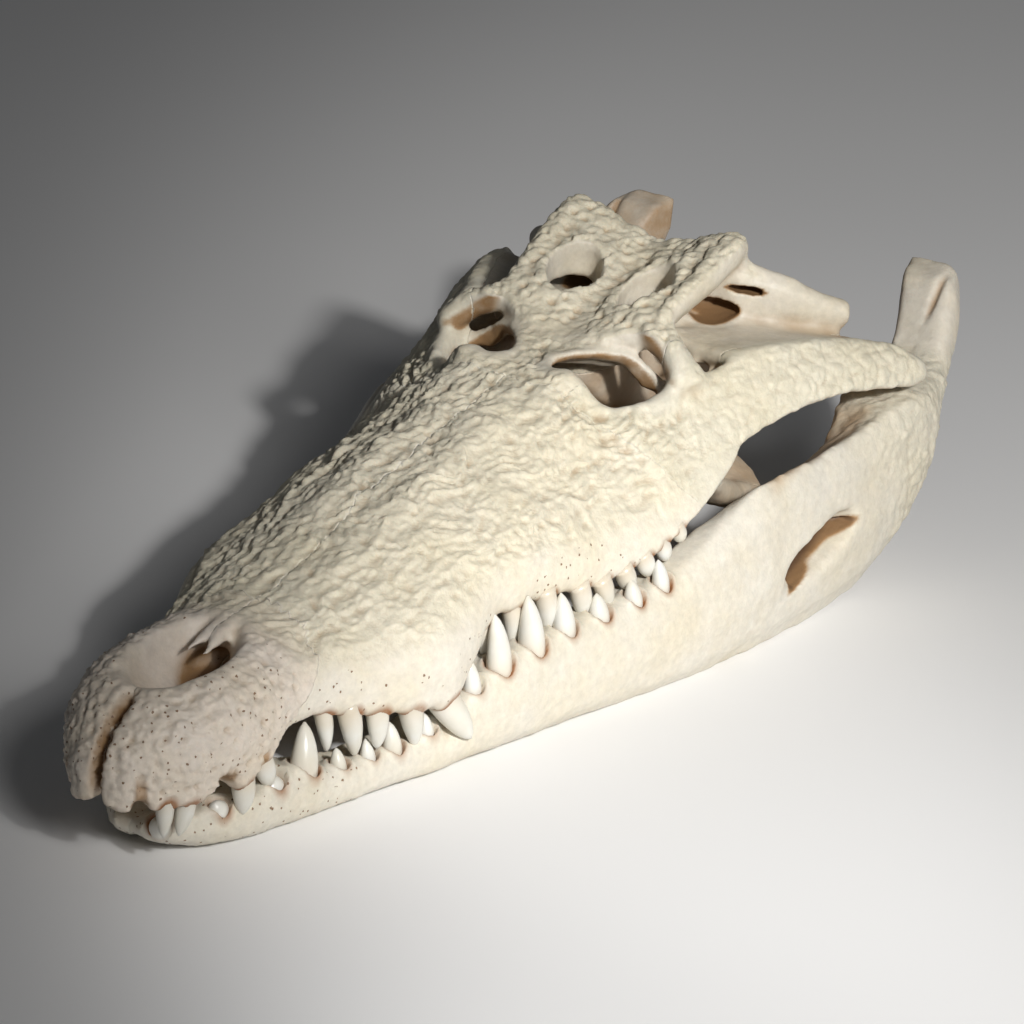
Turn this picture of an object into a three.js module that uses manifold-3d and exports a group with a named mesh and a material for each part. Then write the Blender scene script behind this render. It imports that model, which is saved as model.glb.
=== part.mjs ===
// Crocodile skull, life size, jaws closed. Millimetres, +Z up, snout towards -Y, its left side +X.
// Places along the skull are measured back from the snout tip, then moved to centre the whole.
import * as THREE from 'three';
import { mergeVertices } from 'three/addons/utils/BufferGeometryUtils.js';
import Module from 'manifold-3d';

const wasm = await Module();
wasm.setup();

// ---- Driving sizes -------------------------------------------------------------------------
const WHOLE_MIDDLE = 315.6;        // middle of the whole length, back from the snout tip
const SUTURE = 0.3;                // gap kept between neighbouring bones
const SHELL = 12;                  // thickness of the roof and cheek round the orbits
const TOOTH_INSET = 4.5;           // middle of a tooth in from the outer edge of its jaw
const REST_TILT = 2.5;             // degrees the skull leans back when it rests on its jaws
const TILT_PIVOT = 100;            // place along the skull where the lean leaves the height as it is
const TOOTH_ROOM = 1.8;            // clearance round a tooth that enters the other jaw
const TOOTH_SIDES = 4;
const LONG_TOOTH = 14;             // longer crowns also get a ring half way up
const DOME_STEPS = 5;
const NARIS = { y: 66, z: 94, halfWidth: 22, halfLength: 38, depth: 30 };
const NARIS_SLOT = { x: 0, y: 88, z: 67, halfWidth: 13, halfLength: 22, halfHeight: 10 };
const ORBIT = { x: 37, y: 376, halfWidth: 16, halfLength: 28.5, turn: 0.78 };
const ORBIT_WALL = 333;            // solid snout ends here, hollow behind
const TABLE_THICKNESS = 14;
const TABLE_HOLE = { x: 20, y: 439, halfWidth: 12, halfLength: 21 };
const BRAIN_HOLE = { z: 112, radius: 8 };
const JAW_WINDOW = { y: 444, z: 27, halfLength: 35, halfHeight: 11, turn: 0.27 };
const JAW_HOLLOW = { start: 366, full: 424, ease: 488, end: 534, fall: 15 };

// Named cuts between bones: a point on the cut and the way it faces.
const SNOUT_CUT = { at: [0, 93, 52], facing: [0, 0.728, -0.685] };
const ORBIT_CUT = { at: [0, 368, 70], facing: [0, 0.873, 0.489] };
const PALATE_CUT = { at: [0, 0, 68], facing: [0, 0, 1] };
const ROOF_CUT = { at: [0, 400, 106], facing: [0, -0.03, 1] };
const CHEEK_CUT = { at: [54, 400, 0], facing: [0.931, -0.365, 0] };
const MIDDLE_CUT = { at: [0, 0, 0], facing: [1, 0, 0] };

// ---- Face: half width at the tooth line, widest half width, tooth line, top, roundness -------
const FACE = [
  { place: 'tip', y: 0, rim: 6, wide: 7, line: 44, top: 57, round: 1, hip: 0.3 },
  { place: 'front', y: 4, rim: 13, wide: 15, line: 42, top: 65, round: 0.95, hip: 0.33 },
  { place: 'first teeth', y: 12, rim: 21, wide: 23, line: 39, top: 74, round: 0.9, hip: 0.37 },
  { place: 'naris front', y: 26, rim: 29, wide: 32, line: 35.5, top: 82, round: 0.85, hip: 0.42 },
  { place: 'premaxilla', y: 48, rim: 36, wide: 39, line: 33.5, top: 88, round: 0.82, hip: 0.46 },
  { place: 'nose back', y: 72, rim: 38, wide: 42, line: 33, top: 89, round: 0.86, hip: 0.44 },
  { place: 'notch', y: 94, rim: 37, wide: 40, line: 47, top: 89, round: 0.95, hip: 0.36 },
  { place: 'maxilla front', y: 114, rim: 43, wide: 45, line: 48, top: 87, round: 1.05, hip: 0.3 },
  { place: 'third tooth', y: 142, rim: 55, wide: 56, line: 40.5, top: 91, round: 1.12, hip: 0.3 },
  { place: 'great tooth', y: 178, rim: 68, wide: 70, line: 34.5, top: 98, round: 1.2, hip: 0.3 },
  { place: 'lobe back', y: 203, rim: 66, wide: 68, line: 43, top: 104, round: 1.15, hip: 0.28 },
  { place: 'waist', y: 226, rim: 63, wide: 65, line: 57, top: 109, round: 1.17, hip: 0.25 },
  { place: 'second lobe', y: 262, rim: 71, wide: 73, line: 56, top: 115, round: 1.3, hip: 0.22 },
  { place: 'cheek', y: 300, rim: 80, wide: 81, line: 51, top: 121, round: 1.45, hip: 0.16 },
  { place: 'orbit front', y: 336, rim: 88, wide: 89, line: 55, top: 127, round: 1.52, hip: 0.1 },
  { place: 'orbit middle', y: 370, rim: 94, wide: 95, line: 67, top: 129, round: 1.58, hip: 0.05 },
  { place: 'orbit back', y: 402, rim: 94, wide: 95, line: 82, top: 132, round: 1.58, hip: 0.05 },
];
const FACE_STATIONS = [0, 4, 12, 26, 48, 72, 94, 114, 142, 164, 180, 203, 226, 250, 275, 300,
  320, 340, 360, 380, 402];

// ---- Cheek arch: upper edge, outermost line and lower edge -----------------------------------
const CHEEK = [
  { y: 352, top: [50, 110], mid: [72, 94], low: [92, 65], thick: 8 },
  { y: 372, top: [55, 112], mid: [75, 95], low: [95, 69], thick: 10 },
  { y: 392, top: [60, 116], mid: [79, 99], low: [95, 80], thick: 10 },
  { y: 410, top: [66, 119], mid: [82, 104], low: [95, 87], thick: 10 },
  { y: 428, top: [74, 120], mid: [87, 107], low: [97, 90], thick: 10 },
  { y: 455, top: [84, 121], mid: [95, 109], low: [103, 93], thick: 11 },
  { y: 486, top: [94, 118], mid: [105, 107], low: [112, 93], thick: 11 },
  { y: 512, top: [102, 112], mid: [113, 103], low: [119, 88], thick: 11 },
  { y: 532, top: [109, 105], mid: [119, 98], low: [124, 84], thick: 11 },
  { y: 548, top: [117, 94], mid: [124, 91], low: [125, 82], thick: 8 },
];

// ---- Skull table: edge half width, edge height and midline height ------------------------------
const ROOF = [
  { y: 392, half: 22, edge: 130, middle: 130 },
  { y: 402, half: 39, edge: 135, middle: 131 },
  { y: 410, half: 45, edge: 140, middle: 132 },
  { y: 432, half: 47, edge: 147, middle: 136 },
  { y: 456, half: 49, edge: 152, middle: 141 },
  { y: 476, half: 51, edge: 159, middle: 144 },
  { y: 486, half: 50, edge: 160, middle: 146 },
  { y: 494, half: 46, edge: 155, middle: 146 },
];

// ---- Lower jaw: outer edge at the top, outermost line, inner edge, top and bottom --------------
const JAW = [
  { y: 29, rim: 7, wide: 8, inner: 0, top: 21, low: 12 },
  { y: 38, rim: 18, wide: 19, inner: 0, top: 22, low: 7 },
  { y: 52, rim: 28, wide: 29, inner: 0, top: 22, low: 3.6 },
  { y: 74, rim: 37, wide: 39, inner: 0, top: 24, low: 0.8 },
  { y: 97, rim: 43, wide: 45, inner: 0, top: 27, low: -0.6 },
  { y: 118, rim: 47, wide: 50, inner: 19, top: 20, low: -1.4 },
  { y: 140, rim: 53, wide: 56, inner: 29, top: 18, low: -1.2 },
  { y: 168, rim: 61, wide: 64, inner: 37, top: 18, low: -1.8 },
  { y: 198, rim: 69, wide: 73, inner: 46, top: 29, low: -3.2 },
  { y: 228, rim: 75, wide: 81, inner: 53, top: 40, low: -4.8 },
  { y: 263, rim: 82, wide: 89, inner: 61, top: 42, low: -6.4 },
  { y: 300, rim: 90, wide: 98, inner: 69, top: 42, low: -8.8 },
  { y: 334, rim: 97, wide: 106, inner: 78, top: 44, low: -10.8 },
  { y: 362, rim: 102, wide: 112, inner: 86, top: 54, low: -12.4 },
  { y: 400, rim: 107, wide: 118, inner: 94, top: 71, low: -14.2 },
  { y: 428, rim: 111, wide: 121, inner: 96, top: 73, low: -15.2 },
  { y: 456, rim: 114, wide: 124, inner: 96, top: 71, low: -15.6 },
  { y: 492, rim: 118, wide: 127, inner: 95, top: 73, low: -13 },
  { y: 520, rim: 122, wide: 128, inner: 90, top: 77, low: -5 },
  { y: 540, rim: 124, wide: 128, inner: 84, top: 77, low: 6 },
  { y: 556, rim: 122, wide: 127, inner: 81, top: 75, low: 22 },
  { y: 572, rim: 117, wide: 122, inner: 82, top: 74, low: 42 },
  { y: 592, rim: 109, wide: 115, inner: 82, top: 77, low: 54 },
  { y: 608, rim: 103, wide: 110, inner: 78, top: 93, low: 60 },
  { y: 622, rim: 98, wide: 106, inner: 72, top: 107, low: 70 },
  { y: 638, rim: 92, wide: 98, inner: 69, top: 110, low: 86 },
];

// ---- Teeth: place along the row, radius and crown length ---------------------------------------
const UPPER_TEETH = [
  [17, 3.6, 13], [28, 3.8, 13], [60, 4.8, 15], [78, 4, 14],
  [121, 3.2, 16], [132, 3.6, 19], [146, 3.8, 18], [165, 4.4, 19], [186, 6, 25],
  [217, 4.2, 18], [243, 3.8, 15], [265, 4.2, 14], [286, 4.8, 13], [301, 4.6, 11],
  [317, 4.4, 10], [331, 4.2, 8], [345, 3.8, 7], [358, 3.6, 6],
];
const LOWER_TEETH = [
  [30, 4.4, 14], [56, 3.8, 6], [84, 4, 6], [105, 5.8, 26],
  [121, 3.4, 12], [139, 3.2, 10], [153, 3.6, 15], [173, 3.6, 10], [199, 4, 17],
  [216, 4.8, 24], [237, 4.8, 24], [258, 4.6, 18], [277, 4.4, 10], [295, 4.2, 8], [325, 4, 12],
];

// ---- Small helpers ---------------------------------------------------------------------------
function profile(rows, key) {
  const row = (i) => rows[Math.min(Math.max(i, 0), rows.length - 1)];
  const slope = (a, b) => (b.y === a.y ? 0 : (b[key] - a[key]) / (b.y - a.y));
  return (y) => {
    let i = 0;
    while (i < rows.length - 2 && y > rows[i + 1].y) i += 1;
    const span = rows[i + 1].y - rows[i].y;
    const t = Math.min(Math.max((y - rows[i].y) / span, 0), 1);
    const start = slope(row(i - 1), row(i + 1)) * span;
    const end = slope(row(i), row(i + 2)) * span;
    const t2 = t * t;
    const t3 = t2 * t;
    return (2 * t3 - 3 * t2 + 1) * rows[i][key] + (t3 - 2 * t2 + t) * start
      + (3 * t2 - 2 * t3) * rows[i + 1][key] + (t3 - t2) * end;
  };
}

function profiles(rows) {
  const keys = Object.keys(rows[0]).filter((key) => typeof rows[0][key] === 'number' && key !== 'y');
  return Object.fromEntries(keys.map((key) => [key, profile(rows, key)]));
}

function toSolid(geometry) {
  geometry.deleteAttribute('normal');
  geometry.deleteAttribute('uv');
  const merged = mergeVertices(geometry, 1e-4);
  const triVerts = new Uint32Array(merged.index.array);
  const vertProperties = new Float32Array(merged.attributes.position.array);
  const corner = (i) => new THREE.Vector3().fromArray(vertProperties, 3 * triVerts[i]);
  let volume = 0;
  for (let i = 0; i < triVerts.length; i += 3) {
    volume += corner(i).dot(corner(i + 1).cross(corner(i + 2)));
  }
  if (volume < 0) triVerts.reverse();
  return new wasm.Manifold(new wasm.Mesh({ numProp: 3, vertProperties, triVerts }));
}

function loft(rings) {
  const count = rings[0].length;
  const points = rings.flat();
  const centre = (ring) => [0, 1, 2].map((k) => ring.reduce((sum, v) => sum + v[k], 0) / count);
  points.push(centre(rings[0]), centre(rings[rings.length - 1]));
  const index = [];
  for (let r = 0; r + 1 < rings.length; r += 1) {
    for (let k = 0; k < count; k += 1) {
      const a = r * count + k;
      const b = r * count + ((k + 1) % count);
      index.push(a, b, b + count, a, b + count, a + count);
    }
  }
  const last = (rings.length - 1) * count;
  for (let k = 0; k < count; k += 1) {
    index.push(points.length - 2, (k + 1) % count, k);
    index.push(points.length - 1, last + k, last + ((k + 1) % count));
  }
  const geometry = new THREE.BufferGeometry();
  geometry.setAttribute('position', new THREE.Float32BufferAttribute(points.flat(), 3));
  geometry.setIndex(index);
  return toSolid(geometry);
}

function mirror(solid) {
  return solid.scale([-1, 1, 1]);
}

function bothSides(solid) {
  return solid.add(mirror(solid));
}

function ellipsoid(centre, radii, across = 12, down = 7) {
  const geometry = new THREE.SphereGeometry(1, across, down);
  geometry.scale(...radii);
  geometry.translate(...centre);
  return toSolid(geometry);
}

// An upright oval bar for cutting holes, leaning outwards by `lean` per millimetre of height.
function ovalCutter({ x, y, halfWidth, halfLength, turn = 0 }, low, high, lean = 0, sides = 16) {
  const ring = (z) => Array.from({ length: sides }, (_, k) => {
    const angle = (2 * Math.PI * k) / sides;
    const across = halfWidth * Math.cos(angle);
    const along = halfLength * Math.sin(angle);
    return [
      x + across * Math.cos(turn) + along * Math.sin(turn) + lean * (z - high),
      y - across * Math.sin(turn) + along * Math.cos(turn),
      z,
    ];
  });
  return loft([ring(low), ring(high)]);
}

// A bar with an oval section along stations {at, wide, high}, square to its path.
function bar(stations, sides = 6) {
  const path = stations.map((s) => new THREE.Vector3(...s.at));
  const rings = stations.map((s, i) => {
    const before = path[Math.max(i - 1, 0)];
    const after = path[Math.min(i + 1, path.length - 1)];
    const along = after.clone().sub(before).normalize();
    const side = new THREE.Vector3(0, 0, 1).cross(along);
    if (side.length() < 0.2) side.set(1, 0, 0);
    side.normalize();
    const up = along.clone().cross(side).normalize();
    return Array.from({ length: sides }, (_, k) => {
      const angle = (2 * Math.PI * (k + 0.5)) / sides;
      return path[i].clone()
        .addScaledVector(side, s.wide * Math.cos(angle))
        .addScaledVector(up, s.high * Math.sin(angle)).toArray();
    });
  });
  return loft(rings);
}

function cut(solid, { at, facing }, side) {
  const [x, y, z] = facing.map((v) => v * side);
  const size = Math.hypot(x, y, z);
  const offset = (x * at[0] + y * at[1] + z * at[2]) / size + SUTURE / 2;
  return solid.trimByPlane([x / size, y / size, z / size], offset);
}

const BEFORE = -1;
const BEYOND = 1;

// ---- Face and forehead -----------------------------------------------------------------------
const face = profiles(FACE);

function domeCurve(y, shrink) {
  const waist = face.line(y) + face.hip(y) * (face.top(y) - face.line(y));
  const wide = face.wide(y) - shrink;
  const rise = face.top(y) - shrink - waist;
  const curve = [];
  for (let k = 0; k <= DOME_STEPS; k += 1) {
    const angle = (Math.PI / 2) * (k / DOME_STEPS);
    const power = face.round(y);
    curve.push([wide * Math.cos(angle) ** power, waist + rise * Math.sin(angle) ** power]);
  }
  curve[DOME_STEPS][0] = 0;
  return curve;
}

function closeRing(half, y) {
  const other = half.slice(1, -1).reverse().map(([x, z]) => [-x, z]);
  return [...half, ...other].map(([x, z]) => [x, y, z]);
}

function faceRing(y) {
  const rim = face.rim(y);
  const line = face.line(y);
  const palate = Math.min(line + 5, face.top(y) - 4);
  const floor = [
    [0, palate],
    [rim * 0.5, palate],
    [Math.max(rim - 12, rim * 0.7), palate],
    [Math.max(rim - 9, rim * 0.8), line],
    [rim, line],
  ];
  return closeRing([...floor, ...domeCurve(y, 0)], y);
}

function hollowRing(y) {
  const low = face.line(y) - 40;
  const wall = face.wide(y) - SHELL;
  return closeRing([[0, low], [wall, low], ...domeCurve(y, SHELL)], y);
}

function buildFace() {
  const solid = loft(FACE_STATIONS.map(faceRing));
  const hollow = loft([ORBIT_WALL, 354, 370, 386, 406].map(hollowRing));
  return solid.subtract(hollow);
}

// ---- Rear of the skull -------------------------------------------------------------------------
function buildCheek() {
  const rings = CHEEK.map(({ y, top, mid, low, thick }) => [
    [top[0], y, top[1]],
    [mid[0], y, mid[1]],
    [low[0], y, low[1]],
    [low[0] - thick * 0.6, y, low[1] - 1],
    [mid[0] - thick, y, mid[1] - thick * 0.6],
    [top[0] - thick * 0.5, y, top[1] - thick * 0.8],
  ]);
  return loft(rings);
}

function buildTable() {
  const roof = profiles(ROOF);
  const rings = ROOF.map(({ y }) => {
    const half = roof.half(y);
    const edge = roof.edge(y);
    const middle = roof.middle(y);
    const under = middle - TABLE_THICKNESS;
    return closeRing([
      [0, under],
      [half * 0.5, under + 1],
      [half * 0.92, edge - TABLE_THICKNESS],
      [half, edge - 5],
      [half * 0.93, edge],
      [half * 0.7, edge],
      [half * 0.4, middle + (edge - middle) * 0.4],
      [0, middle],
    ], y);
  });
  return loft(rings);
}

function buildBraincase() {
  const rows = [
    { y: 398, half: 9, low: 100, high: 124 },
    { y: 416, half: 16, low: 84, high: 127 },
    { y: 446, half: 19, low: 66, high: 132 },
    { y: 474, half: 26, low: 54, high: 138 },
    { y: 498, half: 34, low: 58, high: 138 },
  ];
  const block = loft(rows.map(({ y, half, low, high }) => closeRing([
    [0, low],
    [half * 0.8, low + 4],
    [half, (low + high) / 2],
    [half * 0.8, high],
    [0, high],
  ], y)));
  const wing = bar([
    { at: [8, 488, 126], wide: 9, high: 17 },
    { at: [44, 491, 130], wide: 9, high: 17 },
    { at: [62, 502, 126], wide: 8, high: 13 },
    { at: [76, 514, 120], wide: 8, high: 9 },
    { at: [87, 525, 115.5], wide: 7.5, high: 8.5 },
  ]);
  const condyle = ellipsoid([0, 502, 97], [9, 12, 9], 8, 5);
  return block.add(bothSides(wing)).add(condyle);
}

function buildQuadrate() {
  const rows = [
    { inner: [30, 440, 120], outer: [74, 430, 122], thick: 7 },
    { inner: [34, 462, 118], outer: [86, 456, 122], thick: 10 },
    { inner: [40, 486, 116], outer: [96, 484, 118], thick: 14 },
    { inner: [62, 508, 112], outer: [104, 510, 111], thick: 14 },
    { inner: [80, 530, 100], outer: [112, 530, 102], thick: 14 },
    { inner: [84, 548, 91], outer: [122, 548, 92], thick: 9 },
  ];
  const sheet = loft(rows.map(({ inner, outer, thick }) => [
    inner,
    [(inner[0] + outer[0]) / 2, (inner[1] + outer[1]) / 2, (inner[2] + outer[2]) / 2 - 2],
    outer,
    [outer[0], outer[1], outer[2] - thick],
    [(inner[0] + outer[0]) / 2, (inner[1] + outer[1]) / 2, (inner[2] + outer[2]) / 2 - 2 - thick],
    [inner[0], inner[1], inner[2] - thick],
  ]));
  const root = bar([
    { at: [20, 462, 98], wide: 16, high: 24 },
    { at: [46, 484, 100], wide: 13, high: 20 },
    { at: [72, 514, 96], wide: 12, high: 13 },
    { at: [92, 538, 90], wide: 12, high: 9 },
  ]);
  const knob = bar([
    { at: [83, 546, 86], wide: 6, high: 5 },
    { at: [92, 545, 86], wide: 9, high: 7 },
    { at: [104, 543, 87], wide: 8, high: 5.5 },
    { at: [116, 541, 87], wide: 9, high: 6.5 },
    { at: [124, 540, 88], wide: 6, high: 5 },
  ]);
  return sheet.add(root).add(knob);
}

function buildPalate() {
  const rows = [
    { y: 318, half: 17, low: 64, high: 82 },
    { y: 350, half: 15, low: 62, high: 80 },
    { y: 390, half: 15, low: 56, high: 74 },
    { y: 425, half: 19, low: 48, high: 72 },
    { y: 470, half: 24, low: 44, high: 70 },
    { y: 488, half: 22, low: 46, high: 66 },
  ];
  const keel = loft(rows.map(({ y, half, low, high }) => closeRing([
    [0, low],
    [half, low + 3],
    [half, high - 4],
    [half * 0.5, high],
    [0, high],
  ], y)));
  const wing = loft([
    { y: 408, reach: 26, low: 50, high: 60, edge: 50 },
    { y: 424, reach: 52, low: 47, high: 57, edge: 46 },
    { y: 442, reach: 75, low: 46, high: 56, edge: 40 },
    { y: 462, reach: 81, low: 46, high: 56, edge: 36 },
    { y: 478, reach: 66, low: 47, high: 57, edge: 38 },
    { y: 490, reach: 34, low: 48, high: 56, edge: 46 },
  ].map(({ y, reach, low, high, edge }) => closeRing([
    [0, low],
    [reach * 0.55, low],
    [reach * 0.97, edge],
    [reach, edge + 6],
    [reach * 0.6, high],
    [0, high],
  ], y)));
  const strut = bar([
    { at: [80, 378, 84], wide: 10, high: 8 },
    { at: [78, 394, 72], wide: 11, high: 8 },
    { at: [76, 414, 58], wide: 10, high: 8 },
    { at: [74, 438, 46], wide: 8, high: 7 },
    { at: [72, 462, 41], wide: 6, high: 5 },
  ]);
  return keel.add(wing).add(bothSides(strut));
}

function buildEyeBar() {
  return bar([
    { at: [42, 410, 132], wide: 11, high: 7 },
    { at: [55, 404, 126], wide: 9, high: 6.5 },
    { at: [69, 398, 114], wide: 12, high: 7 },
  ]);
}

// ---- Teeth -------------------------------------------------------------------------------------
function tooth(root, direction, radius, length, room = 0) {
  const way = new THREE.Vector3(...direction).normalize();
  const start = new THREE.Vector3(...root);
  const side = new THREE.Vector3(0, 1, 0).cross(way).normalize();
  const other = way.clone().cross(side).normalize();
  const inward = new THREE.Vector3(-Math.sign(root[0]) * 0.09, 0, 0);
  const rows = [[-4, 1], [length * 0.55, 0.86], [length, 0.14]];
  if (length < LONG_TOOTH) rows.splice(1, 1);
  return loft(rows.map(([along, size]) => {
    const bend = Math.max(along, 0) ** 2 / length;
    const middle = start.clone().addScaledVector(way, along).addScaledVector(inward, bend);
    const reach = radius * size + room;
    return Array.from({ length: TOOTH_SIDES }, (_, k) => {
      const angle = (2 * Math.PI * k) / TOOTH_SIDES;
      return middle.clone()
        .addScaledVector(side, reach * Math.cos(angle))
        .addScaledVector(other, reach * Math.sin(angle)).toArray();
    });
  }));
}

const jaw = profiles(JAW);

function upperTooth([y, radius, length], room) {
  const x = Math.max(face.rim(y) - TOOTH_INSET, 5);
  const lean = y < 60 ? [0.1, -0.15, -1] : [0.14, -0.05, -1];
  return tooth([x, y + (y < 30 ? 3 : 0), face.line(y) + 1], lean, radius, length, room);
}

function lowerTooth([y, radius, length], room) {
  const first = y < 30;
  const x = Math.max(jaw.rim(y) - TOOTH_INSET, 7);
  const lean = first ? [0.3, -0.85, 0.4] : [-0.1, 0.05, 1];
  return tooth([x, first ? y + 8 : y, jaw.top(y) - (first ? 4 : 1)], lean, radius, length, room);
}

function joinAll(solids) {
  return wasm.Manifold.union(solids);
}

function largest(solid) {
  return solid.decompose().reduce((best, piece) => (piece.volume() > best.volume() ? piece : best));
}

// ---- Lower jaw ---------------------------------------------------------------------------------
// How far the inner edge lies below the outer one, where the jaw muscles went in.
function innerFall(y) {
  const { start, full, ease, end, fall } = JAW_HOLLOW;
  const inwards = Math.min(Math.max((y - start) / (full - start), 0), 1);
  const outwards = Math.min(Math.max((end - y) / (end - ease), 0), 1);
  return 1 + fall * inwards * outwards;
}

function buildJaw() {
  const rings = JAW.map(({ y, rim, wide, top, low, inner }) => {
    const near = inner === 0 ? SUTURE / 2 : inner;
    const span = top - low;
    const edge = Math.min(5, (wide - near) * 0.3);
    return [
      [near, y, top - (inner === 0 ? 3 : innerFall(y))],
      [(near + rim) / 2, y, top - innerFall(y) * 0.4 - 0.6],
      [rim - 2, y, top],
      [rim + (wide - rim) * 0.5, y, top - span * 0.14],
      [wide, y, low + span * 0.45],
      [wide - edge * 0.4, y, low + span * 0.18],
      [wide - edge * 2, y, low],
      [near + edge, y, low],
      [near, y, low + span * 0.3],
    ];
  });
  const { y, z, halfLength, halfHeight, turn } = JAW_WINDOW;
  const lens = new THREE.SphereGeometry(1, 8, 6);
  lens.scale(20, halfLength, halfHeight);
  lens.rotateX(turn);
  lens.translate(124, y, z);
  return loft(rings).subtract(toSolid(lens));
}

// ---- Assemble ----------------------------------------------------------------------------------
const upperRow = joinAll(UPPER_TEETH.map((row) => upperTooth(row, 0)));
const outerRoom = joinAll(UPPER_TEETH.slice(0, 13).map((row) => upperTooth(row, TOOTH_ROOM)));
const lowerRow = joinAll(LOWER_TEETH.map((row) => lowerTooth(row, 0)));
const lowerRoom = joinAll(LOWER_TEETH.map((row) => lowerTooth(row, TOOTH_ROOM)));

const openings = joinAll([
  ellipsoid([0, NARIS.y, NARIS.z], [NARIS.halfWidth, NARIS.halfLength, NARIS.depth]),
  ellipsoid(
    [NARIS_SLOT.x, NARIS_SLOT.y, NARIS_SLOT.z],
    [NARIS_SLOT.halfWidth, NARIS_SLOT.halfLength, NARIS_SLOT.halfHeight],
    8,
    5,
  ),
  bothSides(ovalCutter(ORBIT, 92, 150, 0.1, 14)),
  bothSides(ovalCutter(TABLE_HOLE, 112, 170, 0, 10)),
  ellipsoid([0, 500, BRAIN_HOLE.z], [BRAIN_HOLE.radius, 16, BRAIN_HOLE.radius], 8, 5),
]);
const upperBone = buildFace()
  .add(bothSides(buildCheek()))
  .add(buildTable())
  .add(buildBraincase())
  .add(bothSides(buildQuadrate()))
  .add(bothSides(buildEyeBar()))
  .subtract(openings)
  .add(buildPalate());

const cranium = upperBone.add(bothSides(upperRow)).subtract(bothSides(lowerRoom));
const lowerJaw = buildJaw().subtract(outerRoom).add(lowerRow);

function rest(solid) {
  return solid.translate([0, -TILT_PIVOT, 0]).rotate([REST_TILT, 0, 0])
    .translate([0, TILT_PIVOT - WHOLE_MIDDLE, 0]).trimByPlane([0, 0, 1], 0);
}

const premaxilla = cut(cranium, SNOUT_CUT, BEFORE);
const maxilla = cut(cut(cranium, SNOUT_CUT, BEYOND), ORBIT_CUT, BEFORE);
const rear = cut(cranium, ORBIT_CUT, BEYOND);
const palate = cut(rear, PALATE_CUT, BEFORE);
const upperRear = cut(rear, PALATE_CUT, BEYOND);
const leftCheek = cut(upperRear, CHEEK_CUT, BEYOND);
const rightFlip = mirror(cut(mirror(upperRear), CHEEK_CUT, BEFORE));
const core = cut(rightFlip, CHEEK_CUT, BEFORE);
const roof = cut(core, ROOF_CUT, BEYOND);
const braincase = cut(core, ROOF_CUT, BEFORE);

// ---- Colours and nodes -------------------------------------------------------------------------
const skull = new THREE.Group();
skull.name = 'crocodile_skull';

function addBone(name, solid, colour, roughness) {
  const mesh = rest(largest(solid)).getMesh();
  const geometry = new THREE.BufferGeometry();
  geometry.setAttribute('position', new THREE.Float32BufferAttribute(mesh.vertProperties, 3));
  geometry.setIndex(Array.from(mesh.triVerts));
  geometry.computeVertexNormals();
  const material = new THREE.MeshStandardMaterial({ color: colour, roughness, metalness: 0 });
  material.name = `${name}_bone`;
  const bone = new THREE.Mesh(geometry, material);
  bone.name = name;
  skull.add(bone);
}

const leftPremaxilla = cut(premaxilla, MIDDLE_CUT, BEYOND);
const leftMaxilla = cut(maxilla, MIDDLE_CUT, BEYOND);
addBone('premaxilla_left', leftPremaxilla, 0xeadfcd, 0.55);
addBone('premaxilla_right', mirror(leftPremaxilla), 0xeadfcd, 0.55);
addBone('maxilla_left', leftMaxilla, 0xefe7d6, 0.6);
addBone('maxilla_right', mirror(leftMaxilla), 0xefe7d6, 0.6);
addBone('cheek_left', leftCheek, 0xf0e9d2, 0.6);
addBone('cheek_right', mirror(leftCheek), 0xf0e9d2, 0.6);
addBone('skull_roof', roof, 0xefe6cf, 0.62);
addBone('braincase', braincase, 0xe4d3b4, 0.62);
addBone('palate', palate, 0xe8d9bd, 0.6);
addBone('mandible_left', lowerJaw, 0xf1ead9, 0.58);
addBone('mandible_right', mirror(lowerJaw), 0xf1ead9, 0.58);

export default skull;
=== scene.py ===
from math import cos, sin, radians, pi
import bpy
import numpy as np
from mathutils import Matrix, Vector


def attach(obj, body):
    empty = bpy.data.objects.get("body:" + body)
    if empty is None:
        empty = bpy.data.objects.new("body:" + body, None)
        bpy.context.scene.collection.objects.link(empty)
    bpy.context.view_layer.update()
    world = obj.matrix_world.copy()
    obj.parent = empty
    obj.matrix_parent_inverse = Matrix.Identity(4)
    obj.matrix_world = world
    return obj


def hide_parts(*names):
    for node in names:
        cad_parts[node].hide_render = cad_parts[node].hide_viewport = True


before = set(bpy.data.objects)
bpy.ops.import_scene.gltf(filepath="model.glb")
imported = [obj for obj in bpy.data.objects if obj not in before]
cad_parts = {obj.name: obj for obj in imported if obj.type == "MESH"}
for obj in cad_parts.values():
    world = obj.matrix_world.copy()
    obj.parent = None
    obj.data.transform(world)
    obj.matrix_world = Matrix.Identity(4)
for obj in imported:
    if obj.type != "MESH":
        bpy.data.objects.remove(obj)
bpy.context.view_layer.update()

# ---- Frame of the skull ------------------------------------------------------------------
# Places on the bones are told in millimetres of the skull's own frame: x to its left, y back
# from the snout tip, z up from the chin, before the skull leans back on its jaws.
LEAN = radians(2.5)
LEAN_Y = 100.0
MIDDLE_Y = 315.6


def to_world(points):
    """Skull millimetres to scene metres."""
    p = np.asarray(points, dtype=np.float64)
    y = p[..., 1] - LEAN_Y
    z = p[..., 2]
    out = np.empty(p.shape)
    out[..., 0] = p[..., 0]
    out[..., 1] = y * cos(LEAN) - z * sin(LEAN) + LEAN_Y - MIDDLE_Y
    out[..., 2] = y * sin(LEAN) + z * cos(LEAN)
    return out * 0.001


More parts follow.
